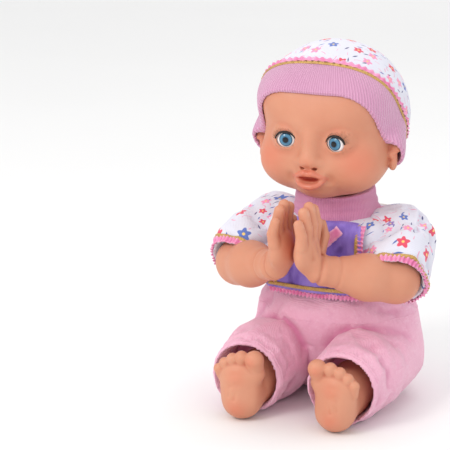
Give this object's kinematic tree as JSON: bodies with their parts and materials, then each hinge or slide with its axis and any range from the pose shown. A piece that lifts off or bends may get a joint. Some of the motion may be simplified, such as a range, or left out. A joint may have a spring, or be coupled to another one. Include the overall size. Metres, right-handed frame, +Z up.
{
  "type": "interactive baby doll",
  "caption": "Sitting baby doll that claps its hands: vinyl head, arms and legs on a cloth-covered trunk with a motor, gears, speaker and battery box, a knit hat and a romper.",
  "frame": {"origin": "middle of the romper's seat, on the surface that the doll sits on", "axes": "+Z up, -Y the way the doll looks, +X the doll's left hand"},
  "size_m": [0.1682, 0.158, 0.263],
  "materials": {
    "skin_vinyl": "soft matt doll vinyl",
    "printed_jersey": "white jersey with a small print",
    "pink_weave": "fine pink plain weave",
    "pink_rib": "pink rib knit",
    "purple_velour": "purple velour",
    "gold_lace": "gold braid with pink gathered ribbon",
    "pink_ribbon": "satin ribbon",
    "casing_plastic": "moulded, fine texture",
    "joint_plastic": "moulded, natural",
    "gear_plastic": "natural acetal",
    "steel": "zinc plated",
    "plated_spring": "nickel plated spring steel",
    "battery_wrap": "printed cell sleeve with no marking",
    "motor_can": "drawn steel can",
    "speaker_frame": "pressed steel, dark",
    "speaker_paper": "black film cone",
    "board_green": "solder mask",
    "component_black": "moulded black",
    "button_plastic": "moulded pink",
    "eye_acrylic": "clear polished acrylic over a printed iris"
  },
  "bodies": {
    "trunk": {"back_casing": "casing_plastic", "batteries": "battery_wrap", "battery_box": "casing_plastic", "battery_contacts": "plated_spring", "battery_springs": "plated_spring", "bib_lace": "gold_lace", "bib_panel": "purple_velour", "board_components": "component_black", "button_spring": "plated_spring", "button_switch": "component_black", "casing_screws": "steel", "circuit_board": "board_green", "collar": "pink_rib", "front_casing": "casing_plastic", "gear_axle": "steel", "gear_bracket": "joint_plastic", "hip_bar": "joint_plastic", "left_shoulder_lace": "gold_lace", "motor": "motor_can", "power_switch": "component_black", "ribbon_loop": "pink_ribbon", "right_shoulder_lace": "gold_lace", "romper_bodice": "printed_jersey", "romper_seat": "pink_weave", "speaker_basket": "speaker_frame", "speaker_cone": "speaker_paper", "speaker_magnet": "speaker_frame"},
    "head": {"head_skin": "skin_vinyl", "right_eye": "eye_acrylic", "left_eye": "eye_acrylic", "eye_bracket": "casing_plastic", "neck_plug": "casing_plastic", "hat_crown": "printed_jersey", "hat_band": "pink_rib", "hat_lace": "gold_lace"},
    "right_arm": {"right_arm_hub": "joint_plastic", "right_arm_shaft": "steel", "right_arm_gear": "gear_plastic", "right_arm_skin": "skin_vinyl", "right_sleeve": "printed_jersey", "right_cuff_lace": "gold_lace"},
    "left_arm": {"left_arm_hub": "joint_plastic", "left_arm_shaft": "steel", "left_arm_gear": "gear_plastic", "left_arm_skin": "skin_vinyl", "left_sleeve": "printed_jersey", "left_cuff_lace": "gold_lace"},
    "right_leg": {"right_leg_skin": "skin_vinyl", "right_hip_disc": "joint_plastic", "right_trouser_leg": "pink_weave"},
    "left_leg": {"left_leg_skin": "skin_vinyl", "left_hip_disc": "joint_plastic", "left_trouser_leg": "pink_weave"},
    "battery_cover": {"battery_door": "casing_plastic", "door_screw": "steel"},
    "power_knob": {"power_slider": "component_black"},
    "press_button": {"chest_button": "button_plastic"},
    "reduction": {"reduction_gear": "gear_plastic"},
    "pinion": {"motor_pinion": "gear_plastic"}
  },
  "joints": [
    {"name": "head_turn", "type": "hinge", "parent": "trunk", "child": "head", "pos_m": [0, 0, 0.147], "axis": [0, 0, 1], "range_deg": [-45, 45]},
    {"name": "right_arm_clap", "type": "hinge", "parent": "trunk", "child": "right_arm", "pos_m": [-0.034, 0, 0.12], "axis": [0, 0, 1], "range_deg": [-32, 0]},
    {"name": "left_arm_clap", "type": "hinge", "parent": "trunk", "child": "left_arm", "pos_m": [0.034, 0, 0.12], "axis": [0, 0, 1], "range_deg": [0, 32]},
    {"name": "reduction_gear_turn", "type": "hinge", "parent": "trunk", "child": "reduction", "pos_m": [-0.01426, -0.0114, 0.104], "axis": [0, 0, 1], "range_deg": [-1, 121]},
    {"name": "motor_turn", "type": "hinge", "parent": "trunk", "child": "pinion", "pos_m": [-0.00901, -0.00231, 0.103], "axis": [0, 0, 1], "range_deg": [-301, 1]},
    {"name": "right_hip", "type": "hinge", "parent": "trunk", "child": "right_leg", "pos_m": [-0.036, -0.006, 0.0286], "axis": [1, 0, 0], "range_deg": [-8, 60]},
    {"name": "left_hip", "type": "hinge", "parent": "trunk", "child": "left_leg", "pos_m": [0.036, -0.006, 0.0286], "axis": [1, 0, 0], "range_deg": [-8, 60]},
    {"name": "battery_cover_off", "type": "slide", "parent": "trunk", "child": "battery_cover", "axis": [0, 1, 0], "range_m": [0, 0.03]},
    {"name": "power_switch_slide", "type": "slide", "parent": "trunk", "child": "power_knob", "axis": [1, 0, 0], "range_m": [0, 0.004]},
    {"name": "chest_button_press", "type": "slide", "parent": "trunk", "child": "press_button", "axis": [0, 1, 0], "range_m": [0, 0.002], "stiffness_N_per_m": 400, "deforming": ["button_spring"]}
  ],
  "couplings": [
    {"joint": "left_arm_clap", "follows": "right_arm_clap", "ratio": -1},
    {"joint": "reduction_gear_turn", "follows": "right_arm_clap", "ratio": -3.75},
    {"joint": "motor_turn", "follows": "right_arm_clap", "ratio": 9.375}
  ]
}
